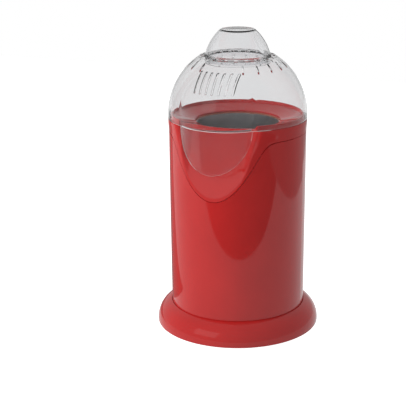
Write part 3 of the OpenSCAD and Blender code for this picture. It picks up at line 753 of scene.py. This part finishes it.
def cover_section(angle):
    """Outline of the cover at one angle: flap, outside, seat and neck, inside."""
    angle = signed(angle)
    rows, lowest_tilt = 74, 0.006
    top_out = math.asin((SEAT_Z - 0.8 - DOME_Z) / RIM_R)
    top_in = math.asin((SEAT_Z - CLEAR_WALL - DOME_Z) / (RIM_R - CLEAR_WALL))
    outside = [cover_surface(angle, tilt, 0) for tilt in np.linspace(lowest_tilt, top_out, rows)]
    inside = [cover_surface(angle, tilt, CLEAR_WALL) for tilt in np.linspace(top_in, lowest_tilt, rows)]
    foot_out, foot_in = outside[0][0], inside[-1][0]
    rim, front, rear = flap_section(angle, foot_in, foot_out)
    bead_out = [(foot_out - 0.25, COVER_Z), (foot_out, COVER_Z + 0.3)]
    bead_in = [(foot_in, COVER_Z + 0.3), (foot_in + 0.2, COVER_Z)]
    neck_in = NECK_R - CLEAR_WALL
    corners = [outside[-1], (outside[-1][0] - 1.0, SEAT_Z), (neck_in, SEAT_Z), (neck_in, NECK_FOOT_Z),
               (NECK_R, NECK_FOOT_Z), (NECK_R, SEAT_Z - CLEAR_WALL), inside[0]]
    neck = round_off(corners, [0, 0.6, 0.5, 0.6, 0.6, 1.0, 0])
    return np.array(rim + front + bead_out + outside[:-1] + list(neck) + inside[1:] + bead_in + rear)


def cover_cutters():
    """Vent slots round the dome's top, slots through the hood, and notches under the cup."""
    vent_places, vent_r, notch_r = 20, 49.6, 36
    hood_slot_pitch, hood_slot_y, hood_slot_z = 7.0, -62, 273
    cutters = []

    def cut_round(name, radius, turn, z, length, width, height):
        angle = math.radians(turn)
        slot = stadium(name, length, width, height)
        cutters.append(put(slot, (radius * math.sin(angle), -radius * math.cos(angle), z), turn - 90))

    # the hood takes the place of the vents on either side of the front
    for i in range(1, vent_places - 1):
        cut_round("vent", vent_r, (i + 0.5) * 360 / vent_places, DOME_Z + 12, 7.4, 2.0, 90)
    for i in range(-3, 4):
        slot = stadium("hood_slot", 40, 2.0, 19)
        cutters.append(put(slot, (i * hood_slot_pitch, hood_slot_y, hood_slot_z), 90))
    for i in range(vent_places):
        cut_round("notch", notch_r, i * 360 / vent_places, SEAT_Z - 1.0, 9, 4.0, 5)
    return join("cover_cutters", cutters)


def clear_cover():
    angles = spaced([(24, 0.8), (34, 0.3), (60, 0.8), (180, 1.8)])
    shell = loft("lift_off_cover", angles, [cover_section(angle) for angle in angles])
    return subtract(shell, cover_cutters())


def light_edges(cover):
    """Paints a highlight on the flap's rim and the foot of the hood, for the look of a lit edge."""
    cover.data.materials.append(painted_edge_highlight())
    for polygon in cover.data.polygons:
        x, y, z = polygon.center / MM
        outward = Vector((x, y + HOOD_Y, 0)).normalized()
        on_flap = z < COVER_Z - 1 and y < 0 and abs(polygon.normal.dot(outward)) < 0.75
        under_hood = abs(z - COVER_Z) < 0.6 and y < -50 and polygon.normal.z < -0.3
        # these faces take the painted edge highlight
        if on_flap or under_hood:
            polygon.material_index = 1


light_edges(piece(clear_cover(), "cover", "clear_plastic", "clear_cover"))


# ---- Measuring cup ------------------------------------------------------------

def cup_wall_r(angle, z, inset):
    """Radius of the cup's side: an arc, with a slanted flat on the +X side."""
    arc_r, arc_in, arc_z = 55.0 - inset, 18.0, 290.2
    side = math.sqrt(arc_r ** 2 - (z - arc_z) ** 2) - arc_in
    towards_flat = math.cos(angle - math.pi / 2)
    if towards_flat < 0.3:
        return side
    flat_top_x, flat_tilt = 18.7, math.radians(58)
    flat_x = flat_top_x - inset / math.sin(flat_tilt) + (CUP_TOP_Z - z) / math.tan(flat_tilt)
    return float(smooth_min(np.array(side), np.array(flat_x / towards_flat), 0.8))


def cup_section(angle):
    """Outline of the cup at one angle. It stands mouth down, with its closed end on top."""
    wall, end_wall, end_dip = 1.8, 2.2, 0.4
    flange_r, flange_z = 35.9, SEAT_Z + GAP
    side_z = flange_z + 1.4
    plug_r = NECK_R - CLEAR_WALL - GAP
    outer_heights = [CUP_TOP_Z, *np.linspace(CUP_TOP_Z - 3.0, side_z, 31)]
    inner_heights = np.linspace(side_z, CUP_TOP_Z - end_wall, 30)
    outer = [(cup_wall_r(angle, z, 0), z) for z in outer_heights]
    inner = [(cup_wall_r(angle, z, wall), z) for z in inner_heights]
    top_r = outer[0][0]
    end_top = [(0.0, CUP_TOP_Z - end_dip), (top_r - 2.4, CUP_TOP_Z - end_dip), (top_r - 1.4, CUP_TOP_Z)]
    flange = [(flange_r, side_z), (flange_r, flange_z), (plug_r, flange_z)]
    plug = [(plug_r, CUP_FOOT_Z), (plug_r - wall, CUP_FOOT_Z), (plug_r - wall, flange_z)]
    end_inside = [(0.0, CUP_TOP_Z - end_wall)]
    radii = [0, 1.0, 0.6, 1.3] + [0.3] * 30 + [0.8, 0.5, 0.5, 0.4, 0.5, 0.5, 0.8] + [0.3] * 29 + [1.6, 0]
    return round_off(end_top + outer + flange + plug + inner + end_inside, radii)


def measuring_cup():
    angles = np.radians(np.arange(0, 360, 1.5))
    return loft("corn_measure", angles, [cup_section(angle) for angle in angles])


piece(measuring_cup(), "cup", "clear_plastic", "measuring_cup")


# ---- Heating coil ---------------------------------------------------------------

def heating_coil():
    """Rings of close-wound resistance wire, in the space of the CAD's plain rings."""
    low, high = low_high("heating_coil")
    wire_r, winding_r, rings, turns = 0.45, 1.55, 5, 76
    steps, sides = turns * 12, 6
    reach = winding_r + wire_r
    ring_r = high[0] - reach
    up = np.array([0, 0, 1.0])
    around = np.linspace(0, 2 * math.pi, steps, endpoint=False)
    way = np.stack([np.cos(around), np.sin(around), 0 * around], 1)
    winding = np.cos(turns * around)[:, None] * way + np.sin(turns * around)[:, None] * up
    parts = []
    for z in np.linspace(low[2] + reach, high[2] - reach, rings):
        path = ring_r * way + winding_r * winding + z * up
        ahead = np.roll(path, -1, 0) - np.roll(path, 1, 0)
        side = np.cross(ahead, winding)
        side /= np.linalg.norm(side, axis=1)[:, None]
        wire = [path + wire_r * (math.cos(turn) * winding + math.sin(turn) * side)
                for turn in np.linspace(0, 2 * math.pi, sides, endpoint=False)]
        points = np.stack(wire, 1).reshape(-1, 3)
        parts.append(mesh_from("coil_ring", points, grid_faces(steps, sides), 80))
    return join("wound_coil", parts)


piece(heating_coil(), "base", "heater_wire", "heating_coil")


# ---- Studio, in metres ------------------------------------------------------------

BACKDROP = 0.84                        # brightness of the backdrop seen through the clear plastic
BODY_MIDDLE = (0, 0, 0.16)


def ray_test(tree, *outputs):
    """The largest of a few Light Path outputs."""
    rays = tree.nodes.new("ShaderNodeLightPath")
    result = rays.outputs[outputs[0]]
    for output in outputs[1:]:
        larger = tree.nodes.new("ShaderNodeMath")
        larger.operation = "MAXIMUM"
        tree.links.new(result, larger.inputs[0])
        tree.links.new(rays.outputs[output], larger.inputs[1])
        result = larger.outputs["Value"]
    return result


def mirrored(tree):
    """1 for shadow rays and rays that a glossy or matt surface has sent on, 0 for rays that
    have only passed through the clear plastic."""
    limit = tree.nodes.new("ShaderNodeMath")
    limit.operation = "MINIMUM"
    limit.inputs[1].default_value = 1.0
    tree.links.new(ray_test(tree, "Glossy Depth", "Diffuse Depth", "Is Shadow Ray"), limit.inputs[0])
    return limit.outputs["Value"]


def mix(tree, factor, first, second):
    """The first shader where the factor is 0, and the second where it is 1."""
    made = tree.nodes.new("ShaderNodeMixShader")
    tree.links.new(factor, made.inputs["Fac"])
    tree.links.new(first, made.inputs[1])
    tree.links.new(second, made.inputs[2])
    return made.outputs["Shader"]


def glow(tree, strength):
    made = tree.nodes.new("ShaderNodeEmission")
    made.inputs["Strength"].default_value = strength
    return made.outputs["Emission"]


def staged_plane(name, width, length, colour, place, turn=0.0):
    """A level sheet of the studio, turned about Z, in degrees."""
    data = bpy.data.meshes.new(name)
    x, y = width / 2, length / 2
    data.from_pydata([(-x, -y, 0), (x, -y, 0), (x, y, 0), (-x, y, 0)], [], [(0, 1, 2, 3)])
    obj = bpy.data.objects.new(name, data)
    scene.collection.objects.link(obj)
    look = Look(name, Roughness=0.7)
    look.colour(look.noise(400, 3), colour, tuple(channel * 1.03 for channel in colour))
    obj.data.materials.append(look.mat)
    obj.location = place
    obj.rotation_euler = (0, 0, math.radians(turn))
    return obj


def lay_floor():
    """A floor that is white where the clear plastic shows it, and white with a soft shadow
    elsewhere. Reflections don't show it: they show the cards instead."""
    floor = staged_plane("floor", 3, 3, (0.74, 0.74, 0.74), (0, 0, 0))
    floor.visible_glossy = False
    tree = floor.data.materials[0].node_tree
    shader = tree.nodes["Principled BSDF"]
    shader.inputs["Emission Color"].default_value = (1, 1, 1, 1)
    tree.links.new(ray_test(tree, "Is Camera Ray"), shader.inputs["Emission Strength"])
    through = tree.nodes.new("ShaderNodeMath")
    through.operation = "SUBTRACT"
    through.use_clamp = True
    tree.links.new(ray_test(tree, "Is Transmission Ray"), through.inputs[0])
    tree.links.new(mirrored(tree), through.inputs[1])
    surface = mix(tree, through.outputs["Value"], shader.outputs["BSDF"], glow(tree, BACKDROP))
    tree.links.new(surface, tree.nodes["Material Output"].inputs["Surface"])


def aim(obj, place, front):
    """Puts an object at a place, with its front axis towards the middle of the body."""
    obj.location = place
    obj.rotation_mode = "QUATERNION"
    obj.rotation_quaternion = (Vector(BODY_MIDDLE) - Vector(place)).to_track_quat(front, "Y")


def card(name, width, length, strength, place=(0, 0, 0), turn=0.0):
    """A bright card that shows only in the object's reflections."""
    made = staged_plane(name, width, length, (0.01, 0.01, 0.01), place, turn)
    tree = made.data.materials[0].node_tree
    clear = tree.nodes.new("ShaderNodeBsdfTransparent")
    surface = mix(tree, mirrored(tree), clear.outputs["BSDF"], glow(tree, strength))
    tree.links.new(surface, tree.nodes["Material Output"].inputs["Surface"])
    for kind in ("camera", "diffuse", "shadow"):
        setattr(made, "visible_" + kind, False)
    return made


def lying_card(name, distance, turn, width, length, strength, lift):
    """A card on the floor. Its near edge is this far from the body's axis, in that direction."""
    angle = math.radians(turn)
    centre = distance + length / 2
    place = (centre * math.sin(angle), -centre * math.cos(angle), lift)
    return card(name, width, length, strength, place, turn)


def area_light(name, place, power, width, height=None):
    """A soft lamp that shows in no reflection, and not through the clear plastic."""
    data = bpy.data.lights.new(name, "AREA")
    data.energy = power
    data.size = width
    if height:
        data.shape = "RECTANGLE"
        data.size_y = height
    lamp = bpy.data.objects.new(name, data)
    aim(lamp, place, "-Z")
    lamp.visible_glossy = False
    lamp.visible_transmission = False
    scene.collection.objects.link(lamp)


def light_world():
    """White for the camera, the backdrop's grey through the plastic, and softer elsewhere."""
    world = bpy.data.worlds.new("studio")
    scene.world = world
    world.use_nodes = True
    tree = world.node_tree
    matt_light, mirror_light, camera_light = 0.42, 0.62, 1.0
    bounced = mix(tree, ray_test(tree, "Is Diffuse Ray"), glow(tree, mirror_light), glow(tree, matt_light))
    indirect = mix(tree, mirrored(tree), glow(tree, BACKDROP), bounced)
    surface = mix(tree, ray_test(tree, "Is Camera Ray"), indirect, glow(tree, camera_light))
    tree.links.new(surface, tree.nodes["World Output"].inputs["Surface"])


def place_camera():
    """A long lens, 21 degrees to the right of the chute and looking slightly down."""
    turn, down = math.radians(21), 16.8
    distance, height = 1.177, 0.4926
    data = bpy.data.cameras.new("camera")
    data.sensor_width = 36
    data.lens = 97.54
    data.shift_x = -0.0855
    camera = bpy.data.objects.new("camera", data)
    camera.location = (distance * math.sin(turn), -distance * math.cos(turn), height)
    camera.rotation_euler = (math.radians(90 - down), 0, turn)
    scene.collection.objects.link(camera)
    scene.camera = camera


lay_floor()
lying_card("table", distance=-3.0, turn=0, width=6.0, length=6.0, strength=0.85, lift=0.0004)
lying_card("front_edge", distance=0.335, turn=24, width=3.0, length=2.4, strength=0.28, lift=0.0008)
lying_card("right_edge", distance=0.56, turn=122, width=2.0, length=1.6, strength=0.45, lift=0.0012)
lying_card("left_edge", distance=0.1, turn=-125, width=0.3, length=1.5, strength=0.25, lift=0.0012)
aim(card("softbox", width=1.0, length=0.8, strength=1.2), (-0.7, -1.4, 0.8), "Z")
area_light("key", (-0.95, -0.8, 0.6), power=14, width=0.7)
area_light("fill", (0.3, -1.5, 1.2), power=5, width=1.2)
area_light("back_strip", (0.42, 0.9, 0.5), power=2, width=0.25, height=0.9)
light_world()
place_camera()
scene.view_settings.view_transform = "Standard"
